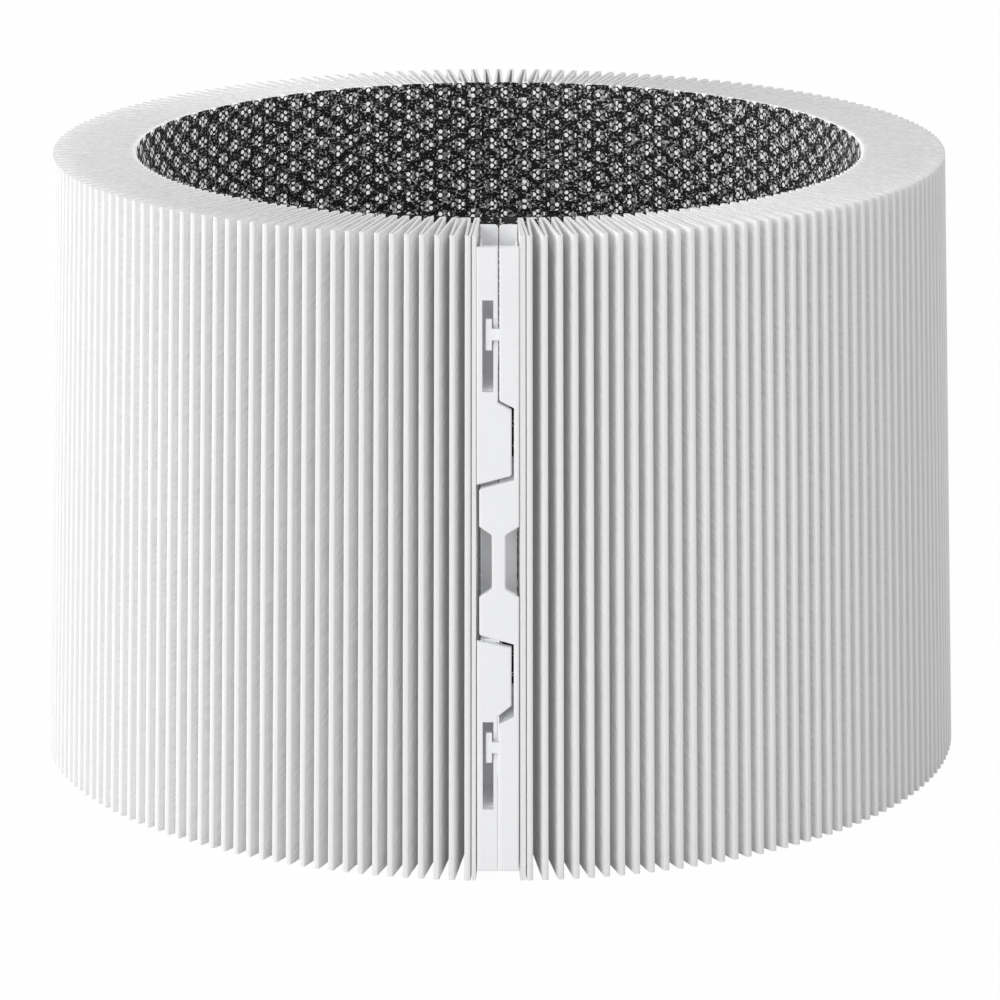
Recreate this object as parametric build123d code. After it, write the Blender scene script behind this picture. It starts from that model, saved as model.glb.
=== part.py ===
from build123d import *
import math
import os

# Ring filter for a cylindrical air purifier. Pleated white media, folded radially from one
# sheet, stands round a black carbon net. Two moulded strips with interlocking lobes, tongues
# and hooks close the ring at the front. Millimetres, +Z up, the ring's axis is the Z axis,
# the base rests on Z = 0 and the seam faces -Y.

# Ring
height = 175.4
top_radius = 128.0
bottom_radius = 134.6
pleat_depth = 23.7

# Folded media
fin_pitch_deg = 1.8
first_fin_deg = 3.6
sheet_thickness = 0.78
fin_tip_width = 1.56
fin_tip_rounding = 0.28
inner_fold_width = 1.76
valley_above_fold = 1.3

# Last folds beside the seam
end_panel_clearance = 0.1
end_fin_width = 1.8
end_fin_setback = 0.15
end_fin_rounding = 0.25
seam_slit = 0.32
first_fin_tip_width = 1.7
end_fold_width = 1.7
end_valley_above_fold = 3.7

# Carbon net
net_thickness = 1.4
net_clearance = 0.15
net_end_gap = 0.8
net_ridge = 0.6
wales_per_column = 2
gap_columns = 20
gap_rows = 5
gap_across = 15.0
gap_margin = 4.0

# Clip strips, across the seam (x), into the ring (depth) and along the strip (z)
seam_gap = 0.25
channel_half_width = 4.85
left_lip = 5.8
right_lip = 5.45
lip_thickness = 0.9
lip_clearance = 0.2
plate_thickness = 2.2
plate_proud = 0.1
plate_end_setback = 2.7
web_depth = 14.0
web_thickness = 1.2
web_corner_rounding = 1.0
wall_thickness = 0.55
rib_thickness = 1.0
rib_rise = 3.0
edge_rounding = 0.55
corner_rounding = 0.8
interlock_gap = 1.0
side_window_depth = 9.8
rib_overlap = 0.3

# Window, hook and hook bar, at the upper and the lower end
window_left = -4.3
window_right = -1.4
upper_window = (134.2, 158.6)
lower_window = (20.1, 44.4)
upper_hook_z = 149.2
lower_hook_z = 36.8
hook_head_width = 1.6
hook_head_length = 8.3
hook_stem_length = 3.0
hook_thickness = 1.2
hook_setback = 1.5
hook_root = 2.5
hook_bar_gap = 0.4
hook_bar_depth = 4.0
hook_bar_margin = 4.6
trough_depth = 3.0
trough_above = 5.8
trough_below = 10.6

# Tongues of the left strip and lobes of the right strip
tongue_reach = 3.4
band_inner = 4.0
diagonal_gap = 0.5
upper_tongue = (111.6, 129.3)
lower_tongue = (48.8, 64.9)
tongue_slope = 2.0
upper_edge_drop = 2.4
lower_edge_drop = 2.9
tongue_window_left = 1.0
tongue_window_margin = 2.0
upper_lobe_top = (108.1, 110.5)
lower_lobe_bottom = (68.3, 65.7)
lobe_reach = 5.15
neck_half_width = 1.85
neck = (81.0, 95.6)
neck_flare = 2.3

# How far a cut, or a piece that is cut level later, runs past the face it passes
run_past = 2.0

radius_step = bottom_radius - top_radius
lean_deg = math.degrees(math.atan2(radius_step, height))
apex_scale = bottom_radius / top_radius
inner_radius = top_radius - pleat_depth
net_radius = inner_radius - net_clearance
net_wales = gap_columns * wales_per_column
net_end_deg = math.degrees(net_end_gap / 2 / net_radius)
wale_deg = (360 - 2 * net_end_deg) / net_wales


def polar(radius, degrees):
    """A point of the plan, with the angle counted from the seam towards +X."""
    a = math.radians(degrees)
    return (radius * math.sin(a), -radius * math.cos(a))


def beside_seam(x, radius):
    """The point at a distance x from the seam plane, on a circle about the axis."""
    return (x, -math.sqrt(radius ** 2 - x ** 2))


def shifted(radius, degrees, offset):
    """A point beside a radial centre line, by an offset towards larger angles."""
    a = math.radians(degrees)
    x, y = polar(radius, degrees)
    return (x + offset * math.cos(a), y + offset * math.sin(a))


def mirrored(points):
    return [(-x, y) for x, y in reversed(points)]


def fin_tip(degrees, width):
    """The rounded outer fold of one fin, in the order of growing angle."""
    half = width / 2
    low = top_radius - fin_tip_rounding
    return [
        shifted(low, degrees, -half),
        shifted(top_radius, degrees, fin_tip_rounding - half),
        shifted(top_radius, degrees, half - fin_tip_rounding),
        shifted(low, degrees, half),
    ]


def media_outline():
    """The folded sheet seen from above at the top of the ring, as one closed line."""
    fins = round((360 - 2 * first_fin_deg) / fin_pitch_deg) + 1
    panel_x = channel_half_width + end_panel_clearance
    fin_x = panel_x + end_fin_width
    lip_x = max(left_lip, right_lip) + lip_clearance
    under_lip = top_radius - lip_thickness - lip_clearance
    end_top = top_radius - end_fin_setback
    fold_x = panel_x + end_fold_width
    first_tip = fin_tip(first_fin_deg, first_fin_tip_width)
    end = [
        beside_seam(panel_x, inner_radius),
        beside_seam(panel_x, under_lip),
        beside_seam(lip_x, under_lip),
        beside_seam(lip_x, end_top),
        beside_seam(fin_x - end_fin_rounding, end_top),
        beside_seam(fin_x, end_top - end_fin_rounding),
        beside_seam(fold_x - sheet_thickness, inner_radius + end_valley_above_fold),
        beside_seam(fin_x + seam_slit, top_radius - fin_tip_rounding),
        *first_tip[1:],
    ]
    outer = list(end)
    inner = []
    valley = inner_radius + valley_above_fold
    half_pitch = fin_pitch_deg / 2
    for k in range(1, fins):
        angle = first_fin_deg + k * fin_pitch_deg
        outer.append(polar(valley, angle - half_pitch))
        if k < fins - 1:
            outer += fin_tip(angle, fin_tip_width)
        inner.append(shifted(inner_radius, angle - half_pitch, -inner_fold_width / 2))
        inner.append(shifted(inner_radius, angle - half_pitch, inner_fold_width / 2))
        if k < fins - 1:
            inner.append(polar(top_radius - sheet_thickness, angle))
    outer += mirrored(end)
    first_slit = [
        beside_seam(fold_x, inner_radius),
        polar(top_radius - sheet_thickness, first_fin_deg),
    ]
    return outer + mirrored(first_slit) + list(reversed(inner)) + list(reversed(first_slit))


def ring_loft(outline):
    """A wall that tapers up to this outline, every face running to the cone's apex."""
    top = [Vector(x, y, height) for x, y in outline]
    base = [Vector(x * apex_scale, y * apex_scale, 0) for x, y in outline]
    rows = [Wire.make_polygon(row, close=True) for row in (base, top)]
    return Solid.make_loft(rows, ruled=True)


def media():
    return ring_loft(media_outline())


def net_outline():
    """The net seen from above: ridged inside along its wales, plain where the folds touch."""
    low = net_radius - net_thickness
    angles = [net_end_deg + k * wale_deg for k in range(net_wales + 1)]
    outer = [polar(net_radius, a) for a in angles]
    inner = [polar(low + net_ridge, angles[0])]
    for a in angles[1:]:
        inner.append(polar(low, a - wale_deg / 2))
        inner.append(polar(low + net_ridge, a))
    return outer + list(reversed(inner))


def net():
    row_pitch = (height - 2 * gap_margin) / (gap_rows + 0.5)
    hexagon = RegularPolygon(gap_across / 2, 6, major_radius=False, rotation=30)
    cutter = extrude(hexagon, bottom_radius)
    cutters = []
    for column in range(gap_columns):
        turn = net_end_deg + (column + 0.5) * wales_per_column * wale_deg
        stagger = 0.5 * (column % 2)
        for row in range(gap_rows):
            z = gap_margin + (row + 0.5 + stagger) * row_pitch
            cutters.append(Pos(0, 0, z) * Rot(0, 0, turn) * Rot(90, 0, 0) * cutter)
    return ring_loft(net_outline()) - cutters


def panel(points, start, thickness):
    """A flat moulding drawn as (x, z) on the strip's front, thick into the ring."""
    face = make_face(Polyline(*points, close=True))
    front = Plane(origin=(0, start, 0), x_dir=(1, 0, 0), z_dir=(0, -1, 0))
    return extrude(front * face, -thickness)


def block(x0, x1, depth0, depth1, z0, z1):
    size = (abs(x1 - x0), depth1 - depth0, z1 - z0)
    return Pos((x0 + x1) / 2, (depth0 + depth1) / 2, (z0 + z1) / 2) * Box(*size)


def rib(x0, x1, depth0, z0, z1):
    """A shelf across the channel whose upper face rises from the plate to the web."""
    d1 = web_depth + web_thickness / 2
    low = min(x0, x1)
    front0, front1 = (z0, z1) if x0 < x1 else (z1, z0)
    sections = []
    for x, z in ((low, front0), (max(x0, x1), front1)):
        corners = [
            (x, depth0, z),
            (x, d1, z + rib_rise),
            (x, d1, z + rib_rise - rib_thickness),
            (x, depth0, z - rib_thickness),
        ]
        sections.append(Wire.make_polygon([Vector(*c) for c in corners], close=True))
    return Solid.make_loft(sections, ruled=True)


def rounded_front(plate, radius):
    """Softens the edges of a plate's front face."""
    front = plate.faces().sort_by(Axis.Y)[0]
    return fillet(front.edges(), radius)


def rounded_corners(plate, corners):
    """Rounds the corners of a plate that stand near the given (x, z) points."""
    upright = plate.edges().filter_by(Axis.Y)
    picked = []
    for x, z in corners:
        near = sorted(upright, key=lambda e: math.hypot(e.center().X - x, e.center().Z - z))
        picked.append(near[0])
    return fillet(picked, corner_rounding)


def channel(side):
    """Web and outer wall of a strip, on the side of the seam that the sign gives."""
    inner = side * seam_gap / 2
    outer = side * channel_half_width
    web = block(inner, outer, web_depth, web_depth + web_thickness, -run_past, height + run_past)
    top = height - plate_end_setback
    wall_inner = side * (channel_half_width - wall_thickness)
    depth0 = lip_thickness - plate_proud
    wall = block(wall_inner, outer, depth0, web_depth, plate_end_setback, top)
    return web + wall


def lip_relief(side):
    """What is cut from behind a plate where its edge lies over the last fold."""
    x0 = side * channel_half_width
    x1 = side * (max(left_lip, right_lip) + run_past)
    depth0 = lip_thickness - plate_proud
    return block(x0, x1, depth0, plate_thickness, 0, height)


def hook_bar(window, hook_z):
    """The bar beside a window, dipped in the middle where the hook's stem crosses it."""
    x0 = window_right
    x1 = -seam_gap / 2
    z0 = window[0] - hook_bar_margin
    z1 = window[1] + hook_bar_margin
    depth0 = plate_thickness - plate_proud - rib_overlap
    bar = block(x0, x1, depth0, hook_bar_depth, z0, z1)
    half_stem = hook_stem_length / 2 + hook_bar_gap
    dip = [
        (-run_past, hook_z + trough_above + hook_bar_gap),
        (trough_depth, hook_z + half_stem),
        (trough_depth, hook_z - half_stem),
        (-run_past, hook_z - trough_below - hook_bar_gap),
    ]
    side_view = Plane(origin=(x1 + run_past, 0, 0), x_dir=(0, 1, 0), z_dir=(1, 0, 0))
    profile = side_view * make_face(Polyline(*dip, close=True))
    trough = extrude(profile, -(x1 - x0 + 2 * run_past))
    return bar, trough


def left_strip():
    top = height - plate_end_setback
    low = plate_end_setback
    seam = -seam_gap / 2
    edge = -left_lip
    tongue_low, tongue_top = upper_tongue
    upper = [
        (edge, top),
        (seam, top),
        (seam, tongue_top + tongue_slope),
        (tongue_reach, tongue_top),
        (tongue_reach, tongue_low),
        (edge, tongue_low - upper_edge_drop),
    ]
    lower_low, lower_top = lower_tongue
    lower = [
        (edge, lower_top + tongue_slope),
        (tongue_reach, lower_top),
        (tongue_reach, lower_low),
        (seam, lower_low - lower_edge_drop),
        (seam, low),
        (edge, low),
    ]
    plates = []
    for outline, corner in ((upper, upper[4]), (lower, lower[2])):
        plate = panel(outline, -plate_proud, plate_thickness)
        plate = rounded_corners(plate, [corner])
        plates.append(rounded_front(plate, edge_rounding))
    strip = channel(-1)
    middle = (lower_top + tongue_slope, tongue_low - tongue_slope)
    strip -= block(-left_lip, 0, 0, side_window_depth, *middle)
    strip = strip + plates[0] + plates[1] - lip_relief(-1)
    depth0 = plate_thickness - plate_proud - rib_overlap
    wall_inner = -(channel_half_width - wall_thickness / 2)
    for window, hook_z in ((upper_window, upper_hook_z), (lower_window, lower_hook_z)):
        bar, trough = hook_bar(window, hook_z)
        shelf = rib(wall_inner, seam, depth0, window[0], window[0])
        strip = strip + bar + shelf - trough
        strip -= block(window_left, window_right, -run_past, plate_thickness, *window)
    strip += rib(wall_inner, seam, depth0, lower_top + tongue_slope, lower_top + tongue_slope)
    return strip


def right_plate_outline():
    top = height - plate_end_setback
    low = plate_end_setback
    seam = seam_gap / 2
    edge = right_lip
    gap = interlock_gap
    flare = neck_flare
    neck_low, neck_top = neck
    return [
        (seam, top),
        (seam, upper_tongue[1] + tongue_slope + diagonal_gap),
        (band_inner, upper_tongue[1] + diagonal_gap),
        (band_inner, upper_lobe_top[1]),
        (-lobe_reach, upper_lobe_top[0]),
        (-lobe_reach, neck_top + flare),
        (-neck_half_width, neck_top),
        (-neck_half_width, neck_low),
        (-lobe_reach, neck_low - flare),
        (-lobe_reach, lower_lobe_bottom[0]),
        (band_inner, lower_lobe_bottom[1]),
        (band_inner, lower_tongue[0] - tongue_slope - gap),
        (seam, lower_tongue[0] - 2 * tongue_slope - gap),
        (seam, low),
        (edge, low),
        (edge, neck_low - flare),
        (neck_half_width, neck_low),
        (neck_half_width, neck_top),
        (edge, neck_top + flare),
        (edge, top),
    ]


def hook(hook_z):
    """A flat T: its stem runs from behind the plate across the seam to its head in the window."""
    x_stem = window_right - hook_bar_gap
    x_head = x_stem - hook_head_width
    stem = hook_stem_length / 2
    head = hook_head_length / 2
    outline = [
        (hook_root, hook_z + stem),
        (x_stem, hook_z + stem),
        (x_stem, hook_z + head),
        (x_head, hook_z + head),
        (x_head, hook_z - head),
        (x_stem, hook_z - head),
        (x_stem, hook_z - stem),
        (hook_root, hook_z - stem),
    ]
    return panel(outline, hook_setback, hook_thickness)


def right_strip():
    outline = right_plate_outline()
    plate = panel(outline, -plate_proud, plate_thickness)
    seam_corner = outline[1:2]
    lobe_corners = outline[4:5] + outline[9:10]
    neck_corners = outline[6:8] + outline[16:18]
    plate = rounded_corners(plate, seam_corner + lobe_corners + neck_corners)
    plate = rounded_front(plate, edge_rounding)
    strip = channel(1)
    neck_low, neck_top = neck
    window = (neck_low - neck_flare, neck_top + neck_flare)
    strip -= block(0, right_lip, 0, side_window_depth, *window)
    for low, top in (upper_tongue, lower_tongue):
        slot = (low + tongue_window_margin, top - tongue_window_margin)
        wall_face = channel_half_width - wall_thickness
        back = web_depth + web_thickness + run_past
        strip -= block(tongue_window_left, wall_face, web_depth - run_past, back, *slot)
    strip = strip + (plate - lip_relief(-1)) - lip_relief(1)
    seam = seam_gap / 2
    wall_inner = channel_half_width - wall_thickness / 2
    depth0 = plate_thickness - plate_proud - rib_overlap
    slope = (upper_lobe_top[1] - upper_lobe_top[0]) / (band_inner + lobe_reach)
    z_seam = upper_lobe_top[0] + slope * (lobe_reach + seam)
    strip += rib(seam, wall_inner, depth0, z_seam, upper_lobe_top[1])
    z_low = lower_tongue[0] - 2 * tongue_slope - interlock_gap
    strip += rib(seam, wall_inner, depth0, z_low, z_low + tongue_slope)
    return strip + hook(upper_hook_z) + hook(lower_hook_z)


def seated(strip):
    """Leans a strip to the ring's taper, cuts it level with the folds and rounds its web there."""
    placed = Pos(0, -bottom_radius, 0) * Rot(-lean_deg, 0, 0) * strip
    room = Pos(0, 0, height / 2) * Box(4 * bottom_radius, 4 * bottom_radius, height)
    level = placed & room
    across = level.edges().filter_by(Axis.Y)
    ends = [min(across, key=lambda e: math.hypot(e.center().X, e.center().Z - z)) for z in (0, height)]
    return fillet(ends, web_corner_rounding)


nodes = {
    "pleated_media": media(),
    "carbon_net_liner": net(),
    "left_clip_strip": seated(left_strip()),
    "right_clip_strip": seated(right_strip()),
}

os.makedirs("parts", exist_ok=True)
for name, shape in nodes.items():
    solids = shape.solids()
    export_step(solids[0] if len(solids) == 1 else Compound(solids), f"parts/{name}.step")
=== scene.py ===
import math

import bmesh
import bpy
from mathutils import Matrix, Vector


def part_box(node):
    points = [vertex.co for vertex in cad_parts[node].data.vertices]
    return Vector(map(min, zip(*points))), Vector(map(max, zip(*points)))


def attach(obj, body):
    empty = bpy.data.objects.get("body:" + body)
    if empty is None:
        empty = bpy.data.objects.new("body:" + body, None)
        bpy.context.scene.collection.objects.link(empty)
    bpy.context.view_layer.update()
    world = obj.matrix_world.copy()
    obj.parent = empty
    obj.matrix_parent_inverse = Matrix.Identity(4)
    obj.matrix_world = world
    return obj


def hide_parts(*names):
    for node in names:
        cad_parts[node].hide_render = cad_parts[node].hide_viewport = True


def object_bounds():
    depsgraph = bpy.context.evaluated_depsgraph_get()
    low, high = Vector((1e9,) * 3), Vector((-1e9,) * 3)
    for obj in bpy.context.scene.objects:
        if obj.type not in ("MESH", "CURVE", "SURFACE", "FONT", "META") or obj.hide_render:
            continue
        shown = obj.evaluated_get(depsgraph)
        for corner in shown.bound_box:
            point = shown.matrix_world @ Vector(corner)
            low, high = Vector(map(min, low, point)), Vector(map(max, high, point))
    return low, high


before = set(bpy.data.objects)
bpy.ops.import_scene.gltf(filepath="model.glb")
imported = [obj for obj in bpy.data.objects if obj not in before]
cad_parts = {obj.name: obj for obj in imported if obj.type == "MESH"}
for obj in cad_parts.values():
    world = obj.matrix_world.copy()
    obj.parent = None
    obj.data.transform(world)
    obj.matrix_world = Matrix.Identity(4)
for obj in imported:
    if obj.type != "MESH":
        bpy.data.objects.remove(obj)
cad_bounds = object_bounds()

# Lengths are in metres, and MM turns a size in millimetres into them.
MM = 0.001

# Squareness of an arc: 2 is a circle, and more is squarer
circle = 2.0

# Folded sheet of filter media
fin_pitch = math.radians(1.8)
first_fin = math.radians(3.6)
fins_in_ring = round((2 * math.pi - 2 * first_fin) / fin_pitch) + 1
sheet_thickness = 0.62 * MM
fin_tip_half_width = 0.79 * MM
fin_tip_height = 0.55 * MM
tip_squareness = 2.6
tip_steps = 8
inner_fold_half_width = 0.88 * MM
fold_steps = 3
sheet_levels = 11
sheet_crease_degrees = 50
sheet_merge = 0.001 * MM

# Unevenness of the fins: how far they sway, over what height, and how it dies down at the seam
fin_wave = 0.2 * MM
fin_wave_length = 75 * MM
wave_changes_per_metre = 140.0
wave_left_at_seam = 0.2
calm_near_seam = 6 * MM
calm_fades_over = 24 * MM

# The last panel beside each strip, and its fold to the first fin: distances from the seam
last_panel_side_x = 6.95 * MM
last_panel_clearance = 0.08 * MM
last_panel_setback = 0.2 * MM
last_panel_foot_x = 5.32 * MM
last_fold_radius = 0.40 * MM

# Carbon net: a face layer of round holes over a coarser layer of yarn with windows, each of which
# fills most of its own width times its height
hole_columns = 444
hole_rows = 173
hole_across = 1.38 * MM
hole_steps = 4
net_sectors = 3
window_columns = 132
window_rows = 54
window_wide = 4.3 * MM
window_high = 3.5 * MM
window_squareness = 2.4
window_fill = 0.86
window_steps = 6
net_face_in = 0.12 * MM
yarn_layer_in = 1.15 * MM
net_end_gap = 0.8 * MM
net_merge = 0.01 * MM

# Hem: the net's closed ends at the seam, of cells whose pinholes merge away
hem_in = 0.6 * MM
hem_cell_width = 1.5 * MM
hem_columns = 7
hem_pinhole = 0.01 * MM

# Fineness of the surfaces: how many times a pattern changes in a metre, or in a radian of turn
streaks_across = 2100.0
streaks_along = 90.0
streaks_per_radian = 60.0
fibres_fineness = 2600.0
mottle_fineness = 240.0
grain_fineness = 5200.0
flow_fineness = 60.0
dust_fineness = 2600.0
# The pale curls on the black net are partly real fibre and partly painted glints of light
glint_curls_along = 560.0
glint_curls_up = 1050.0
glint_curl_breaks = 950.0

# Character of the surfaces
streak_slant = 0.3
streak_contrast = 4.4
mottle_contrast = 0.6
fold_zone = 1.2 * MM
# Shape of the net's pale curls, which are partly real fibre and partly painted glints
glint_curl_thinness = 24.0
glint_curl_core = 1.8
glint_curl_break_sharpness = 11.0

# Glow, in place of the light that seeps through thin walls into deep gaps
sheet_glow = 0.023
inner_fold_glow = 0.5
moulding_glow = 0.03

# Camera
camera_place = (0.0, -1.2225, 0.4065)
camera_pitch = math.radians(-15.43)
camera_lens = 154.93
camera_shift = 0.0013

# Light: the dome, the floor, and for each lamp its name, place, diameter and power in watts
dome_strength = 0.55
floor_size = 9.0
floor_white_share = 0.98
lamps = (
    ("side_lamp", (-2.43, 0.74, 1.27), 1.8, 35.9),
    ("front_lamp", (-1.40, -2.33, 0.77), 1.6, 27.1),
    ("edge_lamp", (2.72, 0.48, 0.57), 1.2, 6.3),
)


class Wire:
    """An output of a node that sums in Python can use: each operator adds its Math node."""

    def __init__(self, graph, socket):
        self.graph = graph
        self.socket = socket

    def output(self, name):
        """Another output of the same node."""
        return Wire(self.graph, self.socket.node.outputs[name])

    def maths(self, operation, *values):
        return self.graph.add("ShaderNodeMath", {"operation": operation}, dict(enumerate(values)))

    def __add__(self, other):
        return self.maths("ADD", self, other)

    def __radd__(self, other):
        return self.maths("ADD", other, self)

    def __sub__(self, other):
        return self.maths("SUBTRACT", self, other)

    def __rsub__(self, other):
        return self.maths("SUBTRACT", other, self)

    def __mul__(self, other):
        return self.maths("MULTIPLY", self, other)

    def __rmul__(self, other):
        return self.maths("MULTIPLY", other, self)

    def __truediv__(self, other):
        return self.maths("DIVIDE", self, other)

    def __rtruediv__(self, other):
        return self.maths("DIVIDE", other, self)

    def __pow__(self, other):
        return self.maths("POWER", self, other)

    def floor(self):
        return self.maths("FLOOR", self)

    def larger(self, other):
        return self.maths("MAXIMUM", self, other)

    def clamped(self):
        return self.maths("MINIMUM", self.larger(0.0), 1.0)

    def fades_past(self, zone):
        """1 up to half of a zone, falling to 0 at one and a half."""
        return (1.5 - self / zone).clamped()


class Graph:
    """Adds nodes to one tree, of a material, of the world or of a modifier."""

    def __init__(self, tree):
        self.tree = tree

    def feed(self, socket, value):
        """Links a wire to a socket, or sets the socket to a plain value."""
        if isinstance(value, Wire):
            self.tree.links.new(value.socket, socket)
        else:
            socket.default_value = value

    def add(self, kind, settings=None, sockets=None, out=0):
        """Makes a node: its settings first, then the values or links of its sockets."""
        node = self.tree.nodes.new(kind)
        for name, value in (settings or {}).items():
            setattr(node, name, value)
        for key, value in (sockets or {}).items():
            self.feed(node.inputs[key], value)
        return Wire(self, node.outputs[out]) if node.outputs else node

    def split(self, vector):
        parts = self.add("ShaderNodeSeparateXYZ", None, {0: vector})
        return [parts.output(name) for name in "XYZ"]

    def vector(self, x, y, z):
        return self.add("ShaderNodeCombineXYZ", None, {"X": x, "Y": y, "Z": z})

    def noise(self, vector, scale, detail=2.0, roughness=0.5):
        sockets = {"Vector": vector, "Scale": scale, "Detail": detail, "Roughness": roughness}
        return self.add("ShaderNodeTexNoise", None, sockets)

    def mixed(self, share, first, second):
        """A colour between two colours."""
        node = self.tree.nodes.new("ShaderNodeMix")
        node.data_type = "RGBA"
        for place, value in ((0, share), (6, first), (7, second)):
            self.feed(node.inputs[place], value)
        return Wire(self, node.outputs[2])


def material(name):
    """A new material with its graph, its surface shader and the piece's own coordinates."""
    made = bpy.data.materials.new(name)
    made.use_nodes = True
    graph = Graph(made.node_tree)
    shader = made.node_tree.nodes["Principled BSDF"]
    place = graph.add("ShaderNodeTexCoord").output("Object")
    return made, graph, shader, place


def grey(level, blue=0.0):
    """A grey, a trace bluer or, where blue is below zero, yellower."""
    return (level, level, level + blue, 1)


def bumped(graph, shader, relief, depth, strength):
    """Gives a shader a relief of a depth in metres."""
    sockets = {"Height": relief, "Distance": depth, "Strength": strength}
    graph.feed(shader.inputs["Normal"], graph.add("ShaderNodeBump", None, sockets))


def glowing(made, shader, amount):
    """A trace of glow that isn't counted among the lamps."""
    made.cycles.emission_sampling = "NONE"
    shader.inputs["Emission Color"].default_value = grey(1)
    shader.inputs["Emission Strength"].default_value = amount


def nonwoven():
    """White filter media: matted fibres that run slantwise over the fins, pressed smooth at the folds."""
    made, graph, shader, place = material("white_nonwoven")
    x, y, z = graph.split(place)
    side_x, side_y, up = graph.split(graph.add("ShaderNodeNewGeometry").output("Normal"))
    radius = (x * x + y * y) ** 0.5
    turn = x.maths("ARCTAN2", x, y)

    # Depth below the line of the outer folds, here and at the inner folds
    below_tips = bottom_radius - z * ((bottom_radius - top_radius) / height) - radius
    folds_deep = (top_radius - inner_radius) * (1 + (flare - 1) * (1 - z / height))

    # Pressed at the outer folds and on the cut upper edge, and streaked in between
    pressed = below_tips.fades_past(fold_zone).larger(up.clamped())
    across = (z + radius * streak_slant) * streaks_across
    slanting = graph.vector(across, turn * streaks_per_radian, radius * streaks_along)
    streaks = graph.noise(slanting, 1.0, 3.0, 0.6)
    fibres = graph.noise(place, fibres_fineness, 4.0, 0.65)
    mottle = graph.noise(place, mottle_fineness, 2.0)
    shade = (0.5 + (streaks - 0.5) * streak_contrast + (mottle - 0.5) * mottle_contrast).clamped()
    panel = graph.mixed(shade, grey(0.85), grey(0.99, -0.005))
    folded = graph.mixed(fibres, grey(0.83), grey(0.88, -0.005))
    graph.feed(shader.inputs["Base Color"], graph.mixed(pressed, panel, folded))
    shader.inputs["Roughness"].default_value = 0.92
    shader.inputs["Specular IOR Level"].default_value = 0.2
    bumped(graph, shader, (streaks * 1.2 + fibres * 0.4) * (1 - pressed * 0.8), 0.22 * MM, 0.7)

    # Glow on the inner folds' side towards the ring's axis
    at_inner_fold = (folds_deep - below_tips).fades_past(fold_zone)
    to_axis = (0.25 - (side_x * x + side_y * y) / radius * 1.2).clamped()
    glow = sheet_glow + at_inner_fold * to_axis * (1 - up.clamped()) * inner_fold_glow
    glowing(made, shader, 1.0)
    graph.feed(shader.inputs["Emission Color"], graph.vector(glow, glow, glow))
    return made


def moulded_plastic():
    """White strips: satin mouldings with a very fine spark-eroded grain."""
    made, graph, shader, place = material("satin_white_plastic")
    grain = graph.noise(place, grain_fineness, 2.0)
    flow = graph.noise(place, flow_fineness, 2.0)
    colour = graph.mixed(flow, (0.865, 0.87, 0.885, 1), (0.89, 0.895, 0.91, 1))
    graph.feed(shader.inputs["Base Color"], colour)
    graph.feed(shader.inputs["Roughness"], 0.36 + flow * 0.12)
    shader.inputs["Specular IOR Level"].default_value = 0.45
    glowing(made, shader, moulding_glow)
    bumped(graph, shader, grain, 0.01 * MM, 0.35)
    return made


def black_knit(name, dark, glint_curl_colour, curl_and_glint_share):
    """Carbon-dusted yarn: near black, with pale curls of fibre that lie mostly flat; their pale colour is
    partly painted glints of light.
    """
    made, graph, shader, place = material(name)
    x, y, z = graph.split(place)
    flattened = graph.vector(x * glint_curls_along, y * glint_curls_along, z * glint_curls_up)
    winding = graph.noise(flattened, 1.0, 2.0, 0.55)
    ridge = glint_curl_core - winding.maths("ABSOLUTE", winding - 0.5) * glint_curl_thinness
    dust = graph.noise(place, dust_fineness, 3.0, 0.7)
    patches = graph.noise(place, glint_curl_breaks, 1.0)
    # Mask of the pale curls: real fibre, with painted glints of light on it
    curls_and_glints = ridge.clamped() * ((patches - (1 - curl_and_glint_share)) * glint_curl_break_sharpness).clamped()
    dusty = [2.5 * level for level in dark[:3]] + [1]
    ground = graph.mixed(((dust - 0.5) * 5).clamped(), dark, dusty)
    graph.feed(shader.inputs["Base Color"], graph.mixed(curls_and_glints, ground, glint_curl_colour))
    graph.feed(shader.inputs["Roughness"], 0.6 + patches * 0.3)
    shader.inputs["Specular IOR Level"].default_value = 0.25
    bumped(graph, shader, curls_and_glints + dust * 0.6, 0.2 * MM, 0.7)
    return made


def put_in_scene(name, data):
    """A new object in the scene, at the origin."""
    thing = bpy.data.objects.new(name, data)
    bpy.context.scene.collection.objects.link(thing)
    return thing


def radii(node, level):
    """Smallest and largest distance from the axis of a node's corners at a level."""
    rings = [v.co.xy.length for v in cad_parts[node].data.vertices if abs(v.co.z - level) < MM]
    return min(rings), max(rings)


def plate_edge(node):
    """Distance from the seam to the outer edge of a strip's plate."""
    sides = [v.co.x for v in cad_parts[node].data.vertices if v.co.z > height / 2]
    return max(max(sides), -min(sides))


def turned(point, angle):
    """A point of the plan turned about the ring's axis."""
    x, y = point
    return (
        x * math.cos(angle) - y * math.sin(angle),
        x * math.sin(angle) + y * math.cos(angle),
    )


def between(first, second, shares):
    """Points on the straight run from one point to another."""
    return [tuple(a + (b - a) * s for a, b in zip(first, second)) for s in shares]


def squared(value, power):
    """Rounds a sine or cosine towards a square, as in a superellipse."""
    return math.copysign(abs(value) ** (2 / power), value)


def tip_line(half, rise, squareness, depth):
    """An arch over one outer fold, for a fin that points to -Y, with its crown at a depth."""
    base = top_radius - depth - rise
    points = []
    for step in range(tip_steps + 1):
        a = math.pi * (1 - step / tip_steps)
        x = half * squared(math.cos(a), squareness)
        points.append((x, -(base + rise * squared(math.sin(a), squareness))))
    return points


def inner_fold_line(side, radius):
    """Half of an arch over an inner fold at -Y, from its middle to one side."""
    centre = inner_radius + inner_fold_half_width
    quarter = [math.pi / 2 * step / fold_steps for step in range(fold_steps + 1)]
    return [(side * radius * math.sin(a), -(centre - radius * math.cos(a))) for a in quarter]


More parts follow.
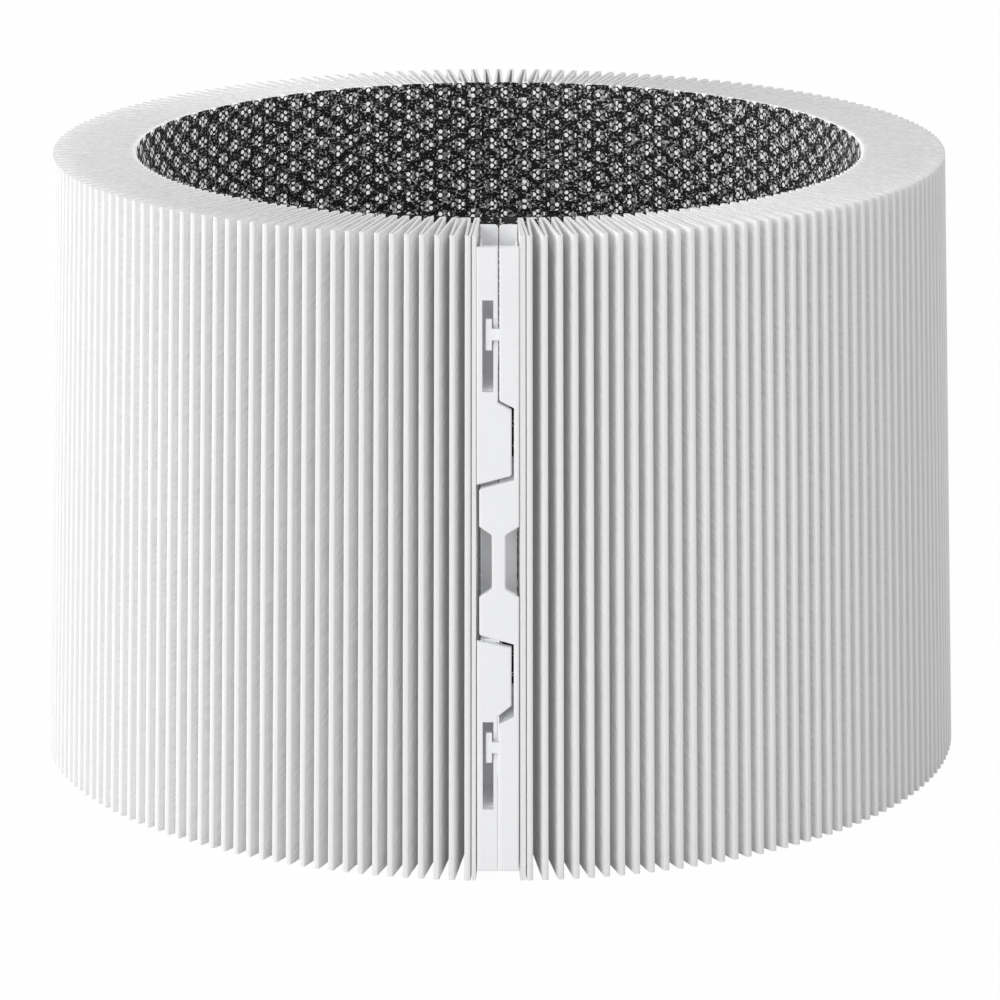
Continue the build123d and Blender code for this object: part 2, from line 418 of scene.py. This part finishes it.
def one_fold(tip, fold_radius):
    """One face of the sheet over a fin at -Y, from the inner fold on its left to the right one."""
    half = fin_pitch / 2
    left = [turned(p, -half) for p in inner_fold_line(1, fold_radius)]
    right = [turned(p, half) for p in reversed(inner_fold_line(-1, fold_radius)[1:])]
    thirds = (1 / 3, 2 / 3)
    up = between(left[-1], tip[0], thirds)
    down = between(tip[-1], right[0], thirds)
    return left + up + tip + down + right


def fold_faces():
    """The outer and the inner face of the sheet over one fin."""
    slit = fin_tip_half_width - sheet_thickness
    outer = tip_line(fin_tip_half_width, fin_tip_height, tip_squareness, 0.0)
    inner = tip_line(slit, slit, circle, sheet_thickness)
    fold = inner_fold_half_width
    return one_fold(outer, fold - sheet_thickness), one_fold(inner, fold)


def beside(line, distances):
    """A line moved sideways, to the right of its run where the distance is positive."""
    moved = []
    for k, ((x, y), distance) in enumerate(zip(line, distances)):
        before = line[max(k - 1, 0)]
        after = line[min(k + 1, len(line) - 1)]
        run = (after[0] - before[0], after[1] - before[1])
        length = math.hypot(*run)
        moved.append((x + run[1] / length * distance, y - run[0] / length * distance))
    return moved


def sheet_end(plate_side):
    """Both faces of the sheet beside the right-hand strip: its last panel and the first fin."""
    foot = inner_radius + sheet_thickness / 2 + last_fold_radius
    fold_x = last_panel_foot_x + last_fold_radius
    near_plate = plate_side + last_panel_clearance
    tip = ((near_plate + last_panel_side_x) / 2, top_radius - last_panel_setback)
    shares = (0, 1 / 3, 2 / 3)
    line = between(tip, (last_panel_foot_x, foot), shares)
    half = sheet_thickness / 2
    tip_half = (last_panel_side_x - near_plate) / 2
    halves = [tip_half + (half - tip_half) * s for s in shares]
    for step in range(2 * fold_steps + 1):
        a = math.pi * (1 + step / (2 * fold_steps))
        line.append((fold_x + last_fold_radius * math.cos(a), foot + last_fold_radius * math.sin(a)))
        halves.append(half)
    placed = [(x, -math.sqrt(radius ** 2 - x ** 2)) for x, radius in line]
    faces = []
    before_tip = fold_steps + 3
    for fold, sign in zip(fold_faces(), (1, -1)):
        rest = [turned(p, first_fin) for p in fold[before_tip:]]
        side = beside(placed, [sign * h for h in halves])
        faces.append(placed[:1] + side + between(side[-1], rest[0], (1 / 3, 2 / 3)) + rest)
    return faces


def line_mesh(name, faces):
    """The corners of the outer face, followed by as many of the inner face."""
    mesh = bpy.data.meshes.new(name)
    mesh.from_pydata([(x, y, 0) for x, y in faces[0] + faces[1]], [], [])
    return mesh


def modifier_tree(name, sockets):
    """A node tree for a modifier, its graph and its named inputs."""
    tree = bpy.data.node_groups.new(name, "GeometryNodeTree")
    tree.interface.new_socket("Geometry", in_out="OUTPUT", socket_type="NodeSocketGeometry")
    tree.interface.new_socket("Geometry", in_out="INPUT", socket_type="NodeSocketGeometry")
    for label, kind in sockets.items():
        tree.interface.new_socket(label, in_out="INPUT", socket_type="NodeSocket" + kind)
    graph = Graph(tree)
    given = graph.add("NodeGroupInput")
    return tree, graph, {label: given.output(label) for label in ["Geometry", *sockets]}


def finish_tree(graph, geometry, finish):
    """Ends a modifier's tree with real faces in one material."""
    solid = graph.add("GeometryNodeRealizeInstances", None, {"Geometry": geometry})
    dressed = graph.add("GeometryNodeSetMaterial", None, {"Geometry": solid, "Material": finish})
    graph.add("NodeGroupOutput", None, {"Geometry": dressed})


def folded_sheet_tree():
    """Repeats one fold round the ring, raises the line into a sheet and flares it to its base."""
    tree, graph, given = modifier_tree("folded_sheet", {
        "Start": "Object",
        "End": "Object",
        "Folds": "Int",
        "First Angle": "Float",
        "Pitch": "Float",
        "Levels": "Int",
        "Height": "Float",
        "Flare": "Float",
        "Outer Radius": "Float",
        "Depth": "Float",
        "Wave": "Float",
        "Wave Length": "Float",
        "Calm": "Float",
        "Calm Fade": "Float",
        "Material": "Material",
    })
    index = graph.add("GeometryNodeInputIndex")
    ring = graph.add("GeometryNodeMeshLine", None, {"Count": given["Folds"]})
    turn = graph.vector(0.0, 0.0, given["First Angle"] + index * given["Pitch"])
    at_centre = graph.add("GeometryNodeSetPosition", None, {"Geometry": ring, "Position": (0, 0, 0)})
    sockets = {"Points": at_centre, "Instance": given["Geometry"], "Rotation": turn}
    folds = graph.add("GeometryNodeInstanceOnPoints", None, sockets)
    middle = graph.add("GeometryNodeRealizeInstances", None, {"Geometry": folds})
    start, end = (
        graph.add("GeometryNodeObjectInfo", None, {"Object": given[key]}).output("Geometry")
        for key in ("Start", "End")
    )

    of_mesh = {"component": "MESH"}
    start_columns, fold_columns, end_columns = (
        graph.add("GeometryNodeAttributeDomainSize", of_mesh, {"Geometry": lines}) / 2
        for lines in (start, given["Geometry"], end)
    )
    middle_columns = fold_columns * given["Folds"]
    columns = start_columns + middle_columns + end_columns
    loop = given["Levels"] * 2
    sockets = {"Vertices X": columns, "Vertices Y": loop + 1, "Size X": 1.0, "Size Y": 1.0}
    grid = graph.add("GeometryNodeMeshGrid", None, sockets)
    column = ((index + 0.5) / (loop + 1)).floor()
    step = index - column * (loop + 1)
    around = step.maths("MODULO", step, loop)
    inside = around.maths("GREATER_THAN", around, given["Levels"] - 0.5)
    level = around + inside * (loop - 1 - around * 2)

    def sampled(geometry, place):
        settings = {"data_type": "FLOAT_VECTOR", "clamp": True}
        sockets = {"Geometry": geometry, "Value": graph.add("GeometryNodeInputPosition"), "Index": place}
        return graph.add("GeometryNodeSampleIndex", settings, sockets)

    def chosen(past, second, first):
        settings = {"input_type": "VECTOR"}
        return graph.add("GeometryNodeSwitch", settings, {"Switch": past, "True": second, "False": first})

    after_start = column - start_columns
    after_folds = after_start - middle_columns
    past_start = column.maths("GREATER_THAN", after_start, -0.5)
    past_folds = column.maths("GREATER_THAN", after_folds, -0.5)
    fold = ((after_start + 0.5) / fold_columns).floor()
    in_middle = after_start + (fold + inside) * fold_columns
    line = chosen(past_start, sampled(middle, in_middle), sampled(start, column + inside * start_columns))
    line = chosen(past_folds, sampled(end, after_folds + inside * end_columns), line)

    x, y, _ = graph.split(line)
    share = level / (given["Levels"] - 1)
    scale = 1 + (1 - share) * (given["Flare"] - 1)
    radius = (x * x + y * y) ** 0.5
    outward = ((radius - given["Outer Radius"]) / given["Depth"] + 1).clamped()
    changes = wave_changes_per_metre
    spot = graph.vector(x * changes, y * changes, share * given["Height"] / given["Wave Length"])
    drift = graph.noise(spot, 1.0, 1.0) - 0.5
    to_seam = (x * x + (y + given["Outer Radius"]) ** 2) ** 0.5
    calm = ((to_seam - given["Calm"]) / given["Calm Fade"]).clamped()
    shift = drift * given["Wave"] * outward * (wave_left_at_seam + calm * (1 - wave_left_at_seam))
    flat_x = (x - y / radius * shift) * scale
    flat_y = (y + x / radius * shift) * scale
    place = graph.vector(flat_x, flat_y, share * given["Height"])
    raised = graph.add("GeometryNodeSetPosition", None, {"Geometry": grid, "Position": place})
    closed = graph.add("GeometryNodeMergeByDistance", None, {"Geometry": raised, "Distance": sheet_merge})
    finish_tree(graph, closed, given["Material"])
    return tree


def perforated_wall_tree():
    """Lays half cells in staggered columns, joins them and bends the wall to the ring's taper."""
    tree, graph, given = modifier_tree("perforated_wall", {
        "Columns": "Int",
        "Rows": "Int",
        "Cell Width": "Float",
        "Cell Height": "Float",
        "Radius": "Float",
        "First Angle": "Float",
        "Height": "Float",
        "Flare": "Float",
        "Material": "Material",
    })
    index = graph.add("GeometryNodeInputIndex")
    sockets = {"Vertices X": given["Columns"], "Vertices Y": given["Rows"]}
    grid = graph.add("GeometryNodeMeshGrid", None, sockets)
    column = ((index + 0.5) / given["Rows"]).floor()
    row = index - column * given["Rows"]
    middle = graph.vector((column + 0.5) * given["Cell Width"], (row + 0.5) * given["Cell Height"], 0.0)
    points = graph.add("GeometryNodeSetPosition", None, {"Geometry": grid, "Position": middle})
    upside_down = graph.vector(0.0, 0.0, (column + row).maths("MODULO", column + row, 2.0) * math.pi)
    sockets = {"Points": points, "Instance": given["Geometry"], "Rotation": upside_down}
    cells = graph.add("GeometryNodeInstanceOnPoints", None, sockets)
    flat = graph.add("GeometryNodeRealizeInstances", None, {"Geometry": cells})
    joined = graph.add("GeometryNodeMergeByDistance", None, {"Geometry": flat, "Distance": net_merge})

    x, y, _ = graph.split(graph.add("GeometryNodeInputPosition"))
    angle = given["First Angle"] + x / given["Radius"]
    radius = given["Radius"] * (1 + (1 - y / given["Height"]) * (given["Flare"] - 1))
    sine = angle.maths("SINE", angle)
    cosine = angle.maths("COSINE", angle)
    place = graph.vector(radius * sine, 0 - radius * cosine, y)
    bent = graph.add("GeometryNodeSetPosition", None, {"Geometry": joined, "Position": place})
    finish_tree(graph, bent, given["Material"])
    return tree


def made_by(tree, name, base, values):
    """Runs a tree on a small base mesh. The values go by the names of the tree's inputs."""
    piece = put_in_scene(name, base)
    modifier = piece.modifiers.new(tree.name, "NODES")
    modifier.node_group = tree
    for item in tree.interface.items_tree:
        if item.item_type == "SOCKET" and item.in_out == "INPUT" and item.name in values:
            modifier[item.identifier] = values[item.name]
    return piece


def plain(piece):
    """Keeps what the modifiers make as the piece's own mesh."""
    bpy.context.view_layer.update()
    graph = bpy.context.evaluated_depsgraph_get()
    mesh = bpy.data.meshes.new_from_object(piece.evaluated_get(graph))
    piece.modifiers.clear()
    piece.data = mesh
    return piece


def smooth(piece, degrees):
    """Shades a piece smoothly, apart from edges that bend by more than an angle."""
    mesh = piece.data
    mesh.polygons.foreach_set("use_smooth", [True] * len(mesh.polygons))
    mesh.set_sharp_from_angle(angle=math.radians(degrees))


def facing_out(piece):
    """Turns a closed shell the right way round if its volume comes out negative."""
    shell = bmesh.new()
    shell.from_mesh(piece.data)
    if shell.calc_volume(signed=True) < 0:
        bmesh.ops.reverse_faces(shell, faces=shell.faces)
        shell.to_mesh(piece.data)
    shell.free()


def line_length(points):
    """Length of a line of straight runs."""
    return sum(math.dist(a, b) for a, b in zip(points, points[1:]))


def pleated_sheet(finish):
    """The media: one sheet folded into fins, from one strip round the ring to the other."""
    fold = fold_faces()
    start = sheet_end(plate_edge("right_clip_strip"))
    end = []
    for side, middle in zip(sheet_end(plate_edge("left_clip_strip")), fold):
        end.append([turned(middle[0], -first_fin - fin_pitch)] + [(-x, y) for x, y in reversed(side)])
    fins_between_ends = fins_in_ring - 2
    start_line = put_in_scene("sheet_start", line_mesh("sheet_start", start))
    end_line = put_in_scene("sheet_finish", line_mesh("sheet_finish", end))
    piece = made_by(folded_sheet_tree(), "pleated_sheet", line_mesh("one_fold", fold), {
        "Start": start_line,
        "End": end_line,
        "Folds": fins_between_ends,
        "First Angle": first_fin + fin_pitch,
        "Pitch": fin_pitch,
        "Levels": sheet_levels,
        "Height": height,
        "Flare": flare,
        "Outer Radius": top_radius,
        "Depth": top_radius - inner_radius,
        "Wave": fin_wave,
        "Wave Length": fin_wave_length,
        "Calm": calm_near_seam,
        "Calm Fade": calm_fades_over,
        "Material": finish,
    })
    plain(piece)
    for line in (start_line, end_line):
        bpy.data.objects.remove(line)
    smooth(piece, sheet_crease_degrees)
    facing_out(piece)
    middle_scale = (1 + flare) / 2
    unfolded = line_length(fold[0]) * fins_between_ends + 2 * line_length(start[0])
    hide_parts("pleated_media")
    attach(piece, "root")
    unfolded * middle_scale
    return piece


def half_cell(name, width, high, across, tall, power, steps):
    """Half of a cell of the wall: a plain edge above, half of a hole in the edge below."""
    low = -high / 2
    top = high / 2
    arc = []
    for step in range(steps + 1):
        a = math.pi * (1 - step / steps)
        x = across / 2 * squared(math.cos(a), power)
        arc.append((x, low + tall / 2 * squared(math.sin(a), power)))
    corners = [(-width / 2, low), (-width / 2, top), (width / 2, top), (width / 2, low)]
    points = corners + arc
    left_foot, left_top, right_top, right_foot = range(4)
    first, crown, last = 4, 4 + steps // 2, 4 + steps
    faces = [(left_foot, first, first + 1, left_top)]
    faces += [(left_top, k, k + 1) for k in range(first + 1, crown)]
    faces += [(left_top, crown, right_top)]
    faces += [(right_top, k, k + 1) for k in range(crown, last - 1)]
    faces += [(right_top, last - 1, last, right_foot)]
    mesh = bpy.data.meshes.new(name)
    mesh.from_pydata([(x, y, 0) for x, y in points], [], faces)
    return mesh


def net_layer(tree, name, cell, columns, first_angle, solid_share, values):
    """One piece of the net, which stands for the net's solid. Its holes leave a share of it."""
    piece = made_by(tree, name, cell, {
        **values,
        "Columns": columns,
        "First Angle": first_angle,
        "Height": height,
        "Flare": flare,
    })
    plain(piece)
    width = columns * values["Cell Width"] * (1 + flare) / 2
    area = height * width * solid_share
    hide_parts("carbon_net_liner")
    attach(piece, "root")
    return piece


def carbon_net():
    """The black liner: a fine face of round holes, and behind it yarn with coarse windows."""
    tree = perforated_wall_tree()
    end_angle = net_end_gap / 2 / net_inner
    span = 2 * math.pi - 2 * end_angle
    face_radius = net_inner + net_face_in
    cell_width = face_radius * span / hole_columns
    cell_height = height / hole_rows
    hole = (hole_across, hole_across, circle, hole_steps)
    cell = half_cell("hole_cell", cell_width, cell_height, *hole)
    values = {
        "Rows": hole_rows,
        "Cell Width": cell_width,
        "Cell Height": cell_height,
        "Radius": face_radius,
        # The curls' pale colour is partly painted glints of light
        "Material": black_knit("black_net_face", grey(0.010, 0.001), grey(0.86, 0.005), 0.485),
    }
    solid_share = 1 - math.pi * hole_across ** 2 / 4 / (2 * cell_width * cell_height)
    per_sector = hole_columns // net_sectors
    for sector in range(net_sectors):
        first = end_angle + sector * span / net_sectors
        net_layer(tree, f"net_face_{sector + 1}", cell, per_sector, first, solid_share, values)

    yarn_radius = net_inner + yarn_layer_in
    cell_width = yarn_radius * span / window_columns
    cell_height = height / window_rows
    window = (window_wide, window_high, window_squareness, window_steps)
    cell = half_cell("window_cell", cell_width, cell_height, *window)
    values = {
        "Rows": window_rows,
        "Cell Width": cell_width,
        "Cell Height": cell_height,
        "Radius": yarn_radius,
        # The curls' pale colour is partly painted glints of light
        "Material": black_knit("black_yarn", grey(0.012, 0.001), grey(0.90, 0.005), 0.51),
    }
    solid_share = 1 - window_fill * window_wide * window_high / (2 * cell_width * cell_height)
    net_layer(tree, "net_yarn", cell, window_columns, end_angle, solid_share, values)

    pinhole = (hem_pinhole, hem_pinhole, circle, hole_steps)
    closed_cell = half_cell("hem_cell", hem_cell_width, cell_height, *pinhole)
    values.update({
        "Cell Width": hem_cell_width,
        "Radius": net_inner + hem_in,
        "Material": black_knit("black_hem", grey(0.03, 0.001), grey(0.06), 0.0),
    })
    hem_angle = hem_columns * hem_cell_width / values["Radius"]
    left_hem = 2 * math.pi - end_angle - hem_angle
    for name, first in (("net_hem_right", end_angle), ("net_hem_left", left_hem)):
        net_layer(tree, name, closed_cell, hem_columns, first, 1.0, values)


def area_lamp(name, place, size, power):
    """A round lamp that looks at the middle of the part."""
    lamp = bpy.data.lights.new(name, "AREA")
    lamp.shape = "DISK"
    lamp.size = size
    lamp.energy = power
    thing = put_in_scene(name, lamp)
    thing.location = place
    direction = middle_of_part - thing.location
    thing.rotation_euler = direction.to_track_quat("-Z", "Y").to_euler()


def seen_directly(graph):
    """1 for rays from the camera and for those that gloss or glass send on to it."""
    rays = graph.add("ShaderNodeLightPath")
    camera, glossy, through = (
        rays.output(name)
        for name in ("Is Camera Ray", "Is Glossy Ray", "Is Transmission Ray")
    )
    return camera.larger(glossy.larger(through))


def studio():
    """White surroundings, a soft dome of light and a pale floor that keeps a faint shadow."""
    world = bpy.data.worlds.new("studio")
    bpy.context.scene.world = world
    world.use_nodes = True
    graph = Graph(world.node_tree)
    direct = seen_directly(graph)
    strength = dome_strength + direct * (1 - dome_strength)
    background = world.node_tree.nodes["Background"]
    background.inputs["Color"].default_value = grey(1)
    graph.feed(background.inputs["Strength"], strength)

    half = floor_size / 2
    mesh = bpy.data.meshes.new("floor")
    corners = [(-half, -half, 0), (half, -half, 0), (half, half, 0), (-half, half, 0)]
    mesh.from_pydata(corners, [], [(0, 1, 2, 3)])
    floor = put_in_scene("floor", mesh)
    made, graph, shader, _ = material("pale_floor")
    shader.inputs["Base Color"].default_value = grey(0.8)
    shader.inputs["Roughness"].default_value = 0.9
    glow = graph.add("ShaderNodeEmission", None, {"Color": grey(1), "Strength": 1.0})
    share = seen_directly(graph) * floor_white_share
    lit = Wire(graph, shader.outputs[0])
    seen = graph.add("ShaderNodeMixShader", None, {0: share, 1: lit, 2: glow})
    graph.feed(made.node_tree.nodes["Material Output"].inputs["Surface"], seen)
    mesh.materials.append(made)


def photo_camera():
    """The photograph's view: from the front, a little above the rim."""
    camera = bpy.data.cameras.new("camera")
    camera.lens = camera_lens
    camera.shift_x = camera_shift
    thing = put_in_scene("camera", camera)
    thing.location = camera_place
    thing.rotation_euler = (math.pi / 2 + camera_pitch, 0, 0)
    bpy.context.scene.camera = thing


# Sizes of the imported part
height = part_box("pleated_media")[1].z
inner_radius, top_radius = radii("pleated_media", height)
bottom_radius = radii("pleated_media", 0)[1]
flare = bottom_radius / top_radius
net_inner = radii("carbon_net_liner", height)[0]
middle_of_part = (cad_bounds[0] + cad_bounds[1]) / 2

# Pieces and finishes
pleated_sheet(nonwoven())
carbon_net()
plastic = moulded_plastic()
for strip in ("left_clip_strip", "right_clip_strip"):
    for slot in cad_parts[strip].material_slots:
        slot.material = plastic

# View and light
photo_camera()
studio()
for name, place, size, power in lamps:
    area_lamp(name, place, size, power)
bpy.context.scene.view_settings.view_transform = "Standard"
